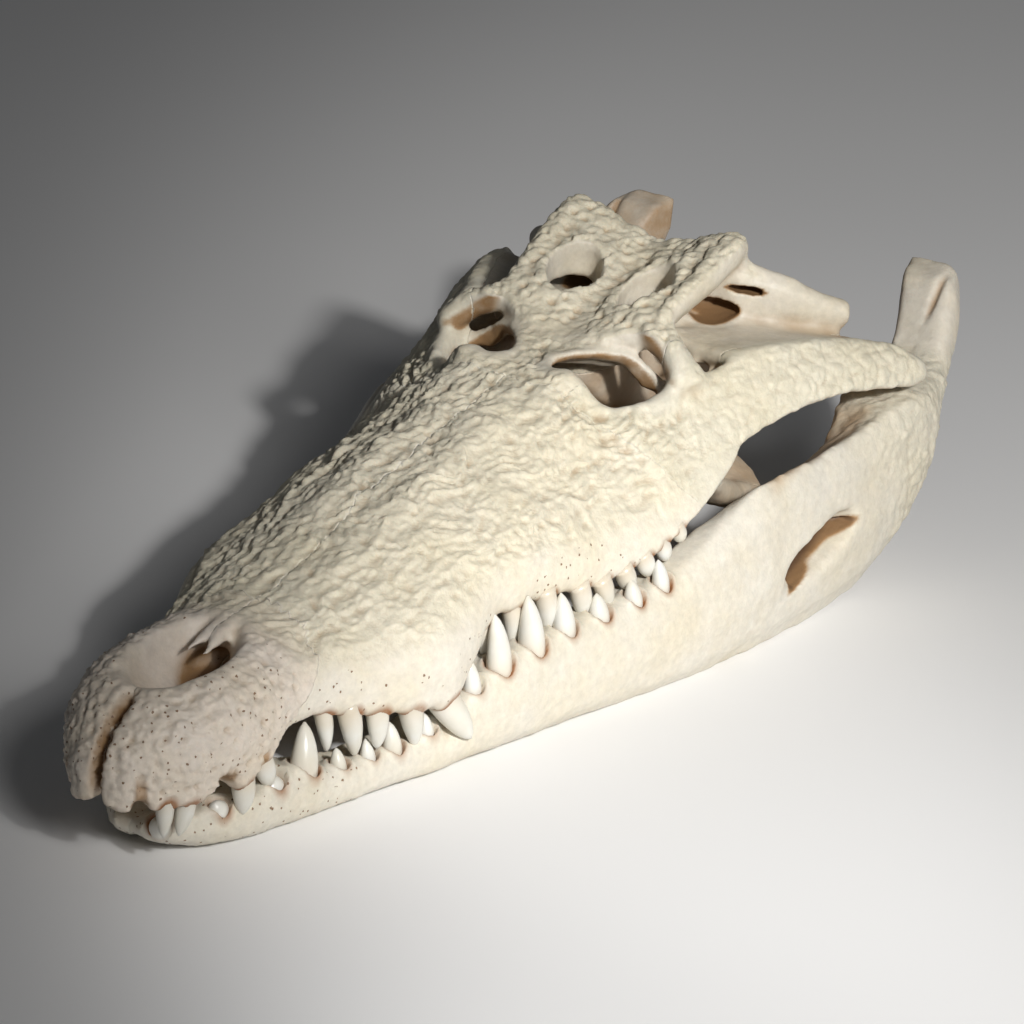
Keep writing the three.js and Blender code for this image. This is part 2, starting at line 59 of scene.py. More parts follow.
def to_skull(points):
    """Scene metres to skull millimetres."""
    p = np.asarray(points, dtype=np.float64) * 1000.0
    y = p[..., 1] + MIDDLE_Y - LEAN_Y
    z = p[..., 2]
    out = np.empty(p.shape)
    out[..., 0] = p[..., 0]
    out[..., 1] = y * cos(LEAN) + z * sin(LEAN) + LEAN_Y
    out[..., 2] = -y * sin(LEAN) + z * cos(LEAN)
    return out


# ---- Camera ------------------------------------------------------------------------------
CAMERA = {"azimuth": 28.844, "elevation": 23.798, "roll": 3.022, "distance": 2323.5}
CAMERA_TARGET = (32.3, 294.2, 77.6)
FOCAL_PIXELS = 5001.6
IMAGE_PIXELS = 1024
SENSOR_WIDTH = 36.0


def make_camera():
    az = radians(CAMERA["azimuth"])
    el = radians(CAMERA["elevation"])
    roll = radians(CAMERA["roll"])
    back = Vector((sin(az) * cos(el), -cos(az) * cos(el), sin(el)))
    right = (-back).cross(Vector((0, 0, 1))).normalized()
    up = right.cross(-back)
    side = right * cos(roll) + up * sin(roll)
    top = up * cos(roll) - right * sin(roll)
    lean = Matrix.Rotation(LEAN, 3, "X")
    turned = [lean @ v for v in (side, top, back)]
    spot = Vector(CAMERA_TARGET) + back * CAMERA["distance"]
    data = bpy.data.cameras.new("camera")
    data.sensor_width = SENSOR_WIDTH
    data.lens = FOCAL_PIXELS * SENSOR_WIDTH / IMAGE_PIXELS
    data.clip_start = 0.1
    data.clip_end = 30.0
    camera = add_object("camera", data)
    pose = Matrix(turned).transposed().to_4x4()
    pose.translation = Vector(to_world(spot))
    camera.matrix_world = pose
    bpy.context.scene.camera = camera


# ---- Tables that follow the bones ----------------------------------------------------------
# Tooth line of the upper jaw: place, half width at the line, height.
UPPER_LINE = [
    (0, 6, 44), (4, 13, 42), (12, 21, 39), (26, 29, 35.5), (48, 36, 33.5), (72, 38, 33),
    (94, 37, 47), (114, 43, 48), (142, 55, 40.5), (178, 68, 34.5), (203, 66, 43), (226, 63, 57),
    (262, 71, 56), (300, 80, 51), (336, 88, 55), (370, 94, 67),
]
# Upper edge of the lower jaw: place, half width at the edge, height.
LOWER_EDGE = [
    (29, 7, 21), (38, 18, 22), (52, 28, 22), (74, 37, 24), (97, 43, 27), (118, 47, 20),
    (140, 53, 18), (168, 61, 18), (198, 69, 29), (228, 75, 40), (263, 82, 42), (300, 90, 42),
    (334, 97, 44), (362, 102, 54), (400, 107, 71),
]
# How far back the frame's plain teeth reach in each jaw.
UPPER_LINE_END = 366
LOWER_EDGE_END = 345
# Upright ovals of the eye, of the hole in the skull table and of the nostril.
ORBIT = {"x": 37.0, "y": 376.0, "across": 16.0, "along": 28.5, "turn": 0.78}
TABLE_HOLE = {"x": 20.0, "y": 439.0, "across": 12.0, "along": 21.0, "turn": 0.0}
NARIS = {"x": 0.0, "y": 66.0, "across": 22.0, "along": 38.0, "turn": 0.0}


def along(table, y, column):
    """One column of a table, read between its rows."""
    rows = np.array(table, dtype=float)
    return np.interp(y, rows[:, 0], rows[:, column])


# ---- Numbers from noise ----------------------------------------------------------------------
def hashed(cell, seed):
    """Whole-number cell places to an even spread of numbers from 0 to 1."""
    c = cell.astype(np.int64)
    h = (c[..., 0] * 73856093) ^ (c[..., 1] * 19349663)
    h = h ^ (c[..., 2] * 83492791) ^ (seed * 668265263)
    h &= 0xFFFFFFFF
    h = ((h ^ (h >> 15)) * 2246822519) & 0xFFFFFFFF
    h = ((h ^ (h >> 13)) * 3266489917) & 0xFFFFFFFF
    return ((h ^ (h >> 16)) & 0xFFFFFF) / float(0xFFFFFF)


def noise(p, seed):
    """Smooth noise, -1 to 1, one bump per unit."""
    low = np.floor(p)
    t = p - low
    t = t * t * t * (t * (t * 6 - 15) + 10)
    total = np.zeros(len(p))
    for corner in np.ndindex(2, 2, 2):
        c = np.array(corner)
        weight = np.prod(np.where(c, t, 1 - t), axis=1)
        total += weight * hashed(low + c, seed)
    return total * 2 - 1


def fractal(p, seed, layers=3):
    """Noise in layers, each twice as fine and half as strong as the one before."""
    total = np.zeros(len(p))
    for k in range(layers):
        total += noise(p * 2.0 ** k + 17.3 * k, seed + k) * 0.5 ** k
    return total / (2 - 0.5 ** (layers - 1))


def cells(p, seed):
    """Distances to the nearest and the second nearest scattered point."""
    low = np.floor(p)
    near = np.full(len(p), 9.0)
    second = np.full(len(p), 9.0)
    for step in np.ndindex(3, 3, 3):
        home = low + np.array(step) - 1
        spot = home + np.stack([hashed(home, seed + k) for k in (1, 2, 3)], axis=1) * 0.8 + 0.1
        gap = np.sqrt(((spot - p) ** 2).sum(axis=1))
        second = np.minimum(second, np.maximum(near, gap))
        near = np.minimum(near, gap)
    return near, second


def fade(value, start, end):
    """0 before the start, 1 past the end and a soft rise between."""
    t = np.clip((value - start) / (end - start), 0, 1)
    return t * t * (3 - 2 * t)


def band(value, low, high, soft):
    """1 between two places, with soft ends."""
    return fade(value, low - soft, low + soft) * (1 - fade(value, high - soft, high + soft))


CHEEK_SLOPE = 0.36
CHEEK_START = 400


def past_cheek_line(p):
    """How far outside the line between skull table and cheek arch a point lies."""
    return np.abs(p[:, 0]) - CHEEK_SLOPE * (p[:, 1] - CHEEK_START)


def oval_reach(p, oval):
    """How far out of a mirrored upright oval a point lies: 1 on the oval itself."""
    x = np.abs(p[:, 0]) - oval["x"]
    y = p[:, 1] - oval["y"]
    turn = oval["turn"]
    across = (x * cos(turn) - y * sin(turn)) / oval["across"]
    length = (x * sin(turn) + y * cos(turn)) / oval["along"]
    return np.hypot(across, length)


# ---- Mesh helpers ------------------------------------------------------------------------------
def add_object(name, data):
    obj = bpy.data.objects.new(name, data)
    bpy.context.scene.collection.objects.link(obj)
    return obj


def only(obj):
    """Selects one object and nothing else."""
    bpy.ops.object.select_all(action="DESELECT")
    obj.select_set(True)
    bpy.context.view_layer.objects.active = obj


def join(first, others):
    """Makes the others part of the first object."""
    only(first)
    for obj in others:
        obj.select_set(True)
    bpy.ops.object.join()
    return first


def edit_whole(obj, operator, **settings):
    """Runs a mesh operator on all of one object."""
    only(obj)
    bpy.ops.object.mode_set(mode="EDIT")
    bpy.ops.mesh.select_all(action="SELECT")
    operator(**settings)
    bpy.ops.object.mode_set(mode="OBJECT")


def get_points(obj):
    co = np.empty(len(obj.data.vertices) * 3)
    obj.data.vertices.foreach_get("co", co)
    return co.reshape(-1, 3)


def set_points(obj, points):
    obj.data.vertices.foreach_set("co", np.ascontiguousarray(points).ravel())
    obj.data.update()


def get_normals(obj):
    n = np.empty(len(obj.data.vertices) * 3, dtype=np.float32)
    obj.data.vertex_normals.foreach_get("vector", n)
    return n.reshape(-1, 3).astype(float)


def apply(obj, kind, **settings):
    only(obj)
    modifier = obj.modifiers.new("step", kind)
    for key, value in settings.items():
        setattr(modifier, key, value)
    bpy.ops.object.modifier_apply(modifier="step")


def get_edges(obj):
    e = np.empty(len(obj.data.edges) * 2, dtype=np.int64)
    obj.data.edges.foreach_get("vertices", e)
    return e.reshape(-1, 2)


class Spread:
    """Averages over the neighbours of each vertex."""

    def __init__(self, obj):
        self.edges = get_edges(obj)
        self.count = len(obj.data.vertices)
        self.degree = np.bincount(self.edges.ravel(), minlength=self.count)

    def mean(self, values):
        a, b = self.edges.T
        total = np.bincount(a, values[b], self.count) + np.bincount(b, values[a], self.count)
        return total / np.maximum(self.degree, 1)

    def mean3(self, points):
        return np.stack([self.mean(points[:, k]) for k in range(3)], axis=1)


SMOOTH_IN = 0.5
SMOOTH_OUT = 0.52


def smooth(obj, rounds, weight=None):
    """Rounds the facets off without shrinking the bone."""
    spread = Spread(obj)
    p = get_points(obj)
    w = np.ones((len(p), 1)) if weight is None else weight(to_skull(p))[:, None]
    for _ in range(rounds):
        p = p + SMOOTH_IN * w * (spread.mean3(p) - p)
        p = p - SMOOTH_OUT * w * (spread.mean3(p) - p)
    set_points(obj, p)


def write_attribute(obj, name, values):
    layer = obj.data.attributes.get(name)
    if layer is None:
        layer = obj.data.attributes.new(name, "FLOAT", "POINT")
    layer.data.foreach_set("value", np.asarray(values, dtype=np.float32))


# ---- Bones from the frame ----------------------------------------------------------------------
CRANIUM_NODES = [
    "premaxilla_left", "premaxilla_right", "maxilla_left", "maxilla_right", "cheek_left",
    "cheek_right", "skull_roof", "braincase", "palate",
]
WELD = 1e-6
SWELL = 0.0003
COARSE = 0.0024
FINE = 0.00125


def joined_copy(names, title):
    """Copies of the frame's bones, swollen a little so that they meet, as one object."""
    copies = []
    for name in names:
        obj = add_object(name + "_copy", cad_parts[name].data.copy())
        edit_whole(obj, bpy.ops.mesh.remove_doubles, threshold=WELD)
        apply(obj, "DISPLACE", strength=SWELL, mid_level=0.0)
        copies.append(obj)
    joined = join(copies[0], copies)
    joined.name = title
    joined.data.materials.clear()
    return joined


def remesh(obj, size):
    apply(obj, "REMESH", mode="VOXEL", voxel_size=size, adaptivity=0.0)


def lift_tooth_line(obj, upper):
    """Takes the plain teeth of the frame away, back to the edge of the jaw."""
    p = to_skull(get_points(obj))
    if upper:
        edge = along(UPPER_LINE, p[:, 1], 2)
        here = p[:, 1] < UPPER_LINE_END
        p[:, 2] = np.where(here, np.maximum(p[:, 2], edge), p[:, 2])
    else:
        edge = along(LOWER_EDGE, p[:, 1], 2)
        here = p[:, 1] < LOWER_EDGE_END
        p[:, 2] = np.where(here, np.minimum(p[:, 2], edge), p[:, 2])
    set_points(obj, to_world(p))


# ---- Teeth ---------------------------------------------------------------------------------------
# Middle of the neck, way to the tip and neck radius, left side.
UPPER_TEETH = [
    ((22.4, 20.5, 37.5), (2, -1.6, -14.7), 4.0),
    ((26.8, 30.5, 34.5), (2, -6.4, -12.5), 4.2),
    ((33.5, 65, 31.5), (2, -0.6, -15.1), 5.1),
    ((34.2, 79, 36), (2, 6, -14), 4.8),
    ((40.1, 118, 46.4), (2, 5.2, -21.5), 4.0),
    ((45.8, 131, 43), (2, 7.7, -25.7), 5.2),
    ((51.7, 145, 39.7), (2, 1.5, -20), 5.1),
    ((58.7, 162, 36.8), (2, 6, -21), 5.5),
    ((63.0, 184, 33), (13, 8, -19), 7.2),
    ((58.6, 223, 55), (2, 7.4, -23), 4.3),
    ((63, 243, 54), (2, 3.8, -21), 4.6),
    ((69.5, 263, 55), (2, 3.8, -18), 5.2),
    ((75, 286, 51), (2, 5.8, -17), 5.0),
    ((79, 300, 50), (2, 5.8, -14), 5.0),
    ((82.3, 316, 51), (2, 5.8, -11), 4.8),
    ((84.8, 330, 53), (2, 4, -8), 4.5),
    ((86.8, 343, 56), (2, 3, -7), 4.2),
    ((89, 355, 60), (1, 2, -5), 3.8),
]
LOWER_TEETH = [
    ((14, 30, 19.5), (2.5, -6, 6), 4.4),
    ((25.5, 58, 18.5), (1.5, -4, 6), 4.6),
    ((34.8, 87, 20.5), (-0.5, -2, 7), 5.2),
    ((38.5, 106, 22), (-1.5, 5.9, 22), 6.2),
    ((44.5, 126, 16), (-1, 0.5, 11), 3.8),
    ((49.3, 143, 14), (-1, 0.5, 12), 3.6),
    ((53.4, 157, 15), (-1, 0.5, 14), 4.4),
    ((59, 177, 16), (-1, 0.5, 11), 3.9),
    ((65.4, 206, 27), (-1.5, 1, 17), 4.3),
    ((69, 223, 35), (-1.5, 1, 25), 5.8),
    ((73.5, 245, 37), (-1.5, 1, 25), 6.2),
    ((78, 267, 38), (-1.5, 1, 18.5), 5.3),
    ((83.5, 290, 38), (-1.5, 1, 13), 4.8),
    ((89, 313, 39), (-1.5, 1, 11), 4.4),
    ((93, 332, 41), (-1.5, 1, 14), 4.2),
]
# The foremost teeth of the right side are lost.
ONE_SIDED = (UPPER_TEETH[0], UPPER_TEETH[1], LOWER_TEETH[0])
TOOTH_RINGS = 12
TOOTH_SIDES = 20
TOOTH_BEND = 0.10
TOOTH_DEPTH = 1.12
ROOT_DEPTH = 6.0
SOCKET_REACH = 2.3
SOCKET_HEIGHT = 5.0


def both_sides(row):
    """A row of a tooth table and its mirror image, unless the tooth is one-sided."""
    base, way, radius = row
    flip = np.array((-1.0, 1.0, 1.0))
    sides = (np.ones(3),) if row in ONE_SIDED else (np.ones(3), flip)
    return [(np.array(base, float) * s, np.array(way, float) * s, radius) for s in sides]


def tooth_rings(base, way, radius, index):
    """Rings of a crown: a stout base, a slight bend inward and a blunt worn tip."""
    length = float(np.linalg.norm(way))
    axis = way / length
    length *= 0.93 + 0.14 * float(hashed(np.array([index, 5, 2]), 9))
    side = np.cross(np.array((0.0, 1.0, 0.0)), axis)
    side /= np.linalg.norm(side)
    other = np.cross(axis, side)
    inward = np.array((-np.sign(base[0]), 0.0, 0.0))
    worn = 0.14 + 0.16 * float(hashed(np.array([index, 3, 7]), 5))
    turn = 2 * pi * np.arange(TOOTH_SIDES)[:, None] / TOOTH_SIDES
    ridge = 1.0 + 0.025 * np.cos(3 * turn + index)
    rings = []
    for k in range(TOOTH_RINGS + 1):
        place = -ROOT_DEPTH + (length + ROOT_DEPTH) * k / TOOTH_RINGS
        u = min(max(place / length, 0.0), 1.0)
        girth = max((1.0 - u ** 1.9) ** 0.62, worn if k < TOOTH_RINGS else worn * 0.3)
        middle = base + axis * place + inward * (TOOTH_BEND * length * u ** 2)
        across = side * np.cos(turn) + other * np.sin(turn) * TOOTH_DEPTH
        rings.append(middle + radius * girth * ridge * across)
    return rings


def make_teeth(rows, title, keep):
    """Crowns of the rows whose base passes `keep`, as one object."""
    groups = []
    index = 0
    for row in rows:
        for base, way, radius in both_sides(row):
            index += 1
            if keep(base):
                groups.append(tooth_rings(base, way, radius, index))
    obj = rings_to_object(groups, title)
    bpy.ops.object.shade_smooth()
    rise = np.repeat(1 - np.arange(TOOTH_RINGS + 1) / TOOTH_RINGS, TOOTH_SIDES)
    write_attribute(obj, "socket", np.tile(rise, len(groups)))
    return obj


def socket_nearness(p, rows):
    """1 at the neck of a tooth, fading out over a few millimetres."""
    best = np.zeros(len(p))
    for row in rows:
        for base, way, radius in both_sides(row):
            axis = way / np.linalg.norm(way)
            gap = p - base
            height = gap @ axis
            across = np.sqrt(np.maximum((gap ** 2).sum(axis=1) - height ** 2, 0))
            near = np.exp(-((across - radius).clip(0) / SOCKET_REACH) ** 2)
            best = np.maximum(best, near * np.exp(-(height / SOCKET_HEIGHT) ** 2))
    return best


# ---- Form and relief of the skull --------------------------------------------------------------
# Broad swellings and hollows: middle, reach each way and height; mirrored off the midline.
SWELLINGS = [
    ((31, 322, 122), (12, 24, 30), 5.5),
    ((23, 350, 128), (6, 26, 30), 4.0),
    ((0, 380, 130), (9, 40, 14), -3.5),
    ((0, 300, 118), (7, 60, 20), -3.5),
    ((44, 316, 112), (6, 34, 20), 3.5),
    ((18, 250, 110), (7, 60, 30), 2.6),
    ((0, 170, 95), (6, 50, 20), -2.0),
    ((57, 178, 60), (16, 26, 30), 2.6),
    ((30, 50, 60), (14, 24, 20), 2.0),
    ((0, 448, 142), (8, 34, 20), -2.5),
    ((35, 446, 150), (3.5, 30, 14), -4.5),
    ((46, 452, 155), (5, 40, 14), 2.2),
]
# Sharp-edged openings: middle, reach each way and turn about the cross axis.
SKULL_CUTS = [
    ((37, 481, 121), (12, 14, 4.8), 0.10),
    ((50, 487, 132), (10, 12, 2.2), -0.20),
]
JAW_CUTS = [
    ((118.5, 449, 23.5), (15, 31, 3.2), 0.33),
]
# Shallow groove down the rear prong: middle, reach each way and depth.
JAW_GROOVE = ((94.5, 617, 92), (2.0, 12, 34), 3.6)
# Arches in the rim of the snout tip over the first lower teeth: place, width and rise.
ARCHES = [((17.0, 9.5), 4.0, 8.5), ((33, 48), 7.2, 9.5), ((37.5, 72.5), 4.6, 7.0)]
# Rise of the underside of the brow, which thins it towards the eye.
BROW_RISE = 8.0
# Drop of the foremost rim of the snout.
TIP_DROP = 7.0
# Raised rims of the openings: oval, height and width, just outside the oval.
RIMS = [(ORBIT, 2.6, 0.16), (TABLE_HOLE, 2.4, 0.2)]
RIM_PLACE = 1.14
# Cleft in the middle of the snout tip.
CLEFT_DEPTH = 9.0
CLEFT_WIDTH = 2.6
# Places and radii along the nasal points and the spines behind the eye.
PRONGS = [
    (((2.6, 106, 85), 3.6), ((2.6, 90, 84), 2.6), ((3.4, 74, 80), 0.7)),
    (((60, 446, 112), 3.0), ((52, 436, 112), 1.8), ((45, 427, 111), 0.5)),
    (((66, 448, 110), 3.0), ((60, 436, 108), 1.6), ((55, 430, 107), 0.5)),
]
# Saw edge of the nasal points: how many, place of the first and step.
SAW_POINTS = 9
SAW_START = 77
SAW_STEP = 3.2


def tube(stations, sides=10):
    """Rings along a tapering bar."""
    rings = []
    spots = [np.array(at, float) for at, _ in stations]
    for k, (_, radius) in enumerate(stations):
        way = spots[min(k + 1, len(spots) - 1)] - spots[max(k - 1, 0)]
        way /= np.linalg.norm(way)
        side = np.cross(way, (0.0, 0.0, 1.0))
        side /= np.linalg.norm(side)
        other = np.cross(way, side)
        turn = 2 * pi * np.arange(sides)[:, None] / sides
        rings.append(spots[k] + radius * (side * np.cos(turn) + other * np.sin(turn)))
    return rings


def rings_to_object(groups, title):
    """Closed bodies from groups of rings."""
    points, faces = [], []
    for rings in groups:
        start = sum(len(q) for q in points)
        sides = len(rings[0])
        points.extend(rings)
        for k in range(len(rings) - 1):
            for s in range(sides):
                a = start + k * sides + s
                b = start + k * sides + (s + 1) % sides
                faces.append((a, b, b + sides, a + sides))
        faces.append(tuple(start + s for s in reversed(range(sides))))
        last = start + (len(rings) - 1) * sides
        faces.append(tuple(last + s for s in range(sides)))
    mesh = bpy.data.meshes.new(title)
    mesh.from_pydata(to_world(np.concatenate(points)).tolist(), [], faces)
    obj = add_object(title, mesh)
    edit_whole(obj, bpy.ops.mesh.normals_make_consistent, inside=False)
    return obj


def flipped(spot):
    return (-spot[0], spot[1], spot[2])


def add_prongs(obj):
    """Nasal points with saw edges and the thin spines behind the eye."""
    groups = []
    for prong in PRONGS:
        for flip in (False, True):
            stations = [(flipped(at) if flip else at, radius) for at, radius in prong]
            groups.append(tube(stations))
    for k in range(SAW_POINTS):
        y = SAW_START + SAW_STEP * k
        for side in (1, -1):
            start = (side * 3.0, y, 81.5 + 0.2 * k)
            end = (side * (6.0 + 0.15 * k), y - 1.4, 81.0 + 0.2 * k)
            groups.append(tube([(start, 1.6), (end, 0.75)], 8))
    join(obj, [rings_to_object(groups, "prongs")])


def mirrored_reach(p, middle, reach):
    """Squared distance from a middle, in reaches, on both sides of the skull at once."""
    side = p.copy()
    if middle[0]:
        side[:, 0] = np.abs(side[:, 0])
    gap = (side - np.array(middle)) / np.array(reach)
    return (gap ** 2).sum(axis=1)


def arch_rise(p):
    """How far the arches lift the rim of the snout."""
    rise = np.zeros(len(p))
    for at, width, height in ARCHES:
        gap = np.hypot(np.abs(p[:, 0]) - at[0], p[:, 1] - at[1])
        rise = np.maximum(rise, height * np.exp(-(gap / width) ** 4))
    return rise


def shape_cranium(obj):
    """Swellings, rims of the openings, the thin brow and the wavy rim over the teeth."""
    p = to_skull(get_points(obj))
    n = get_normals(obj)
    push = np.zeros(len(p))
    for middle, reach, height in SWELLINGS:
        push += height * np.exp(-mirrored_reach(p, middle, reach))
    up = fade(n[:, 2], 0.0, 0.6)
    high = fade(p[:, 2], 98, 108)
    for oval, height, width in RIMS:
        push += height * np.exp(-((oval_reach(p, oval) - RIM_PLACE) / width) ** 2) * high * up
    cleft = CLEFT_DEPTH * np.exp(-(p[:, 0] / CLEFT_WIDTH) ** 4)
    push -= cleft * (1 - fade(p[:, 1], 24, 32)) * fade(p[:, 2], 40, 50)
    q = p + n * push[:, None]
    brow = (1 - fade(np.abs(p[:, 0]), 30, 42)) * (1 - fade(oval_reach(p, ORBIT), 1.3, 1.7))
    brow *= fade(p[:, 2], 100, 106) * (1 - fade(p[:, 2], 112, 126))
    q[:, 2] += BROW_RISE * brow
    edge = along(UPPER_LINE, p[:, 1], 2)
    rim = fade(edge + 14 - p[:, 2], 0, 10) * (1 - fade(p[:, 1], 350, 372))
    drop = np.zeros(len(p))
    for row in UPPER_TEETH:
        for base, _, radius in both_sides(row):
            gap = np.hypot(p[:, 0] - base[0], p[:, 1] - base[1])
            drop = np.maximum(drop, np.exp(-(gap / (radius * 1.4)) ** 4) * radius * 0.55)
    drop += TIP_DROP * (1 - fade(p[:, 1], 7, 20))
    q[:, 2] += (arch_rise(p) - drop) * rim
    set_points(obj, to_world(q))


def cut_wall_shade(p, cuts):
    """1 on the walls of the sharp openings, where painted shade darkens them."""
    stain_and_shade = np.zeros(len(p))
    for at, reach, turn in cuts:
        side = p - np.array(at)
        side[:, 0] = np.abs(p[:, 0]) - at[0]
        spin = np.array(Matrix.Rotation(turn, 3, "X"))
        gap = (side @ spin / np.array(reach)) ** 2
        stain_and_shade = np.maximum(stain_and_shade, 1 - fade(gap.sum(axis=1), 0.85, 1.35))
    return stain_and_shade


def cut_openings(obj, cuts):
    """Cuts lens-shaped hollows on both sides."""
    for at, reach, turn in cuts:
        for side in (1, -1):
            bpy.ops.mesh.primitive_uv_sphere_add(
                segments=32, ring_count=16, radius=0.001, location=(0, 0, 0))
            lens = bpy.context.view_layer.objects.active
            spin = np.array(Matrix.Rotation(turn, 3, "X"))
            points = get_points(lens) * 1000.0 * np.array(reach)
            set_points(lens, to_world(points @ spin.T + np.array(at) * (side, 1, 1)))
            apply(obj, "BOOLEAN", operation="DIFFERENCE", solver="MANIFOLD", object=lens)
            bpy.data.objects.remove(lens)


# Sizes of the patterns in the bone, across, along and upright where they differ.
KNOB = (3.8, 11.0, 4.2)
LUMP = (2.9, 3.8, 2.9)
PLATE = (7.5, 10.0, 7.5)
RIDGE = (8.0, 40.0, 10.0)
VEIN = (4.6, 13.0, 5.0)
FLOW = (5.0, 15.0, 6.0)
PATCH = (26.0, 60.0, 26.0)
PIT = 7.0
WRINKLE = 5.5
GRAIN = 2.6
WAVE = 24.0


def relief_cranium(obj):
    """Pits, ridges and knobs of the skull; also writes where brown stain and painted shade go."""
    p = to_skull(get_points(obj))
    n = get_normals(obj)
    warp = np.stack([noise(p / 9.0, 40 + k) for k in range(3)], axis=1)
    swirl = np.stack([noise(p / 21.0, 50 + k) for k in range(3)], axis=1)
    q = p + warp * 2.4 + swirl * 6.5
    knob_near, knob_far = cells(q / KNOB, 3)
    knobs = np.clip((knob_far - knob_near) * 1.9, 0, 1) ** 0.7
    small_near, small_far = cells((p + warp * 1.2) / LUMP, 5)
    lumps = np.sqrt(np.clip(small_far - small_near, 0, 1))
    big_near, big_far = cells((p + warp * 3) / PLATE, 9)
    plates = np.clip((big_far - big_near) * 2.4, 0, 1) ** 0.6
    ridges = np.clip(1 - np.abs(noise(q / RIDGE, 21)) * 2.8, 0, 1)
    veins = np.clip(1 - np.abs(noise(q / VEIN, 27)) * 2.4, 0, 1)
    flows = fractal(q / FLOW, 29, 2)
    pits_near, _ = cells((p + warp * 1.5) / PIT, 15)
    pits = 1 - fade(pits_near, 0.12, 0.42)
    fine = fractal(p / GRAIN, 61, 2)
    broad = fractal(p / WAVE, 71, 3)
    patch = 0.5 + 0.5 * fractal(p / PATCH, 75, 2)

    around_eye = oval_reach(p, ORBIT)
    around_naris = oval_reach(p, NARIS)
    edge = along(UPPER_LINE, np.minimum(p[:, 1], 370), 2)
    above = fade(p[:, 2] - edge, 8, 38)
    inside = (1 - fade(around_naris, 0.94, 1.06)) * fade(p[:, 2], 50, 60)
    snout = band(p[:, 1], 104, 400, 10) * fade(p[:, 2], 58, 76) * fade(n[:, 2], -0.1, 0.35)
    snout *= 1 - (1 - fade(around_eye, 0.98, 1.06)) * (1 - fade(p[:, 2], 98, 106))
    rugged = snout * (0.22 + 0.78 * fade(n[:, 2] + above * 0.3, 0.45, 0.98))
    front = 1 - fade(p[:, 1], 92, 108)
    rear = fade(p[:, 1], 378, 400)
    table = rear * fade(p[:, 2], 126, 133) * fade(n[:, 2], 0.3, 0.65)
    table = table * (1 - fade(np.abs(p[:, 0]), 56, 62))
    table *= 1 - fade(p[:, 1], 488, 496)
    cheek = rear * fade(past_cheek_line(p), 58, 68) * fade(p[:, 2], 80, 90)
    cheek = cheek * fade(n[:, 2] + np.abs(n[:, 0]) * 0.6, 0.3, 0.7) * (1 - fade(p[:, 1], 534, 546))
    rugged *= (1 - rear) * fade(around_eye, 1.1, 1.45)
    cheek *= fade(around_eye, 1.1, 1.45)
    worms = (knobs - 0.6) * (1.7 * patch + 0.2) + veins * (1.7 - 1.2 * patch) + flows * 1.1
    height = rugged * (0.5 + 0.9 * patch) * (worms + ridges * 1.1 + (lumps - 0.5) * 0.35)
    height += cheek * (
        (plates - 0.6) * (0.5 + 1.1 * patch) + (lumps - 0.5) * 0.25 + veins * 0.5 + flows * 0.4)
    height += table * ((plates - 0.6) * 1.6 - pits * 1.8 + (lumps - 0.5) * 0.5)
    wrinkles = np.clip(1 - np.abs(noise(q / WRINKLE, 23)) * 3.0, 0, 1)
    rings = np.exp(-((big_near - 0.34) / 0.10) ** 2)
    height += front * (1 - inside) * (0.45 + 0.55 * fade(p[:, 2] - edge, 1, 9)) * (
        (lumps - 0.5) * 0.9 + (plates - 0.6) * 0.7 + wrinkles * 0.7 + rings * 0.6 - pits * 1.2 + fine * 0.3)
    plain = 1 - np.clip(rugged + cheek + table + front, 0, 1)
    height += plain * (fine * 0.12 + (lumps - 0.5) * 0.10)
    height += broad * (0.5 + 0.5 * np.clip(rugged + cheek + table, 0, 1))
    set_points(obj, to_world(p + n * height[:, None]))
    write_attribute(obj, "rough", np.clip(rugged + cheek * 0.7 + table, 0, 1))
    # Brown stain and painted shade: the naris slot and its inside, the orbit walls, the deep parts behind
    # the cheeks, the snout cleft and the rim under the arches are darkened where shade falls in these
    # recesses.
    slot = (1 - fade(np.hypot(p[:, 0] * 1.1, (p[:, 1] - 88) * 0.75), 9, 16)) * band(p[:, 2], 50, 74, 5)
    inner = (1 - fade(around_naris, 0.85, 1.05)) * fade(p[:, 2], 50, 60)
    inner = inner * (1 - fade(p[:, 2], 74, 84))
    eye = (1 - fade(around_eye, 1.05, 1.25)) * fade(p[:, 1], 320, 336)
    eye *= np.maximum(1 - fade(p[:, 2], 88, 100), 1 - fade(n[:, 2], 0.05, 0.35))
    deep = fade(p[:, 1], 396, 410) * (1 - fade(past_cheek_line(p), 50, 62))
    deep = deep * (1 - fade(p[:, 2], 104, 122))
    groove = np.exp(-(p[:, 0] / 3.6) ** 4) * (1 - fade(p[:, 1], 26, 34)) * band(p[:, 2], 44, 78, 5) * 1.3
    # Painted shade on faces that look downward.
    underside_shade = fade(-n[:, 2], 0.1, 0.7) * 0.3
    stain_and_shade = slot * 1.5 + inner * 0.15 + eye * 1.15 + deep * 0.5 + groove + underside_shade
    # Painted shade on the walls of the cut openings.
    stain_and_shade += cut_wall_shade(p, SKULL_CUTS) * 1.7
    stain_and_shade += fade(arch_rise(p), 2.5, 6.0) * (1 - fade(p[:, 2] - edge, 8, 15)) * 0.9
    write_attribute(obj, "stain_and_shade", np.clip(stain_and_shade, 0, 2))
    write_attribute(obj, "socket", socket_nearness(p, UPPER_TEETH))
    row = (1 - fade(p[:, 2] - edge, 10, 40)) * (1 - fade(p[:, 1], 300, 360)) * 0.75
    write_attribute(obj, "pores", np.clip(np.maximum(front * (1 - inside), row) + 0.12, 0, 1))


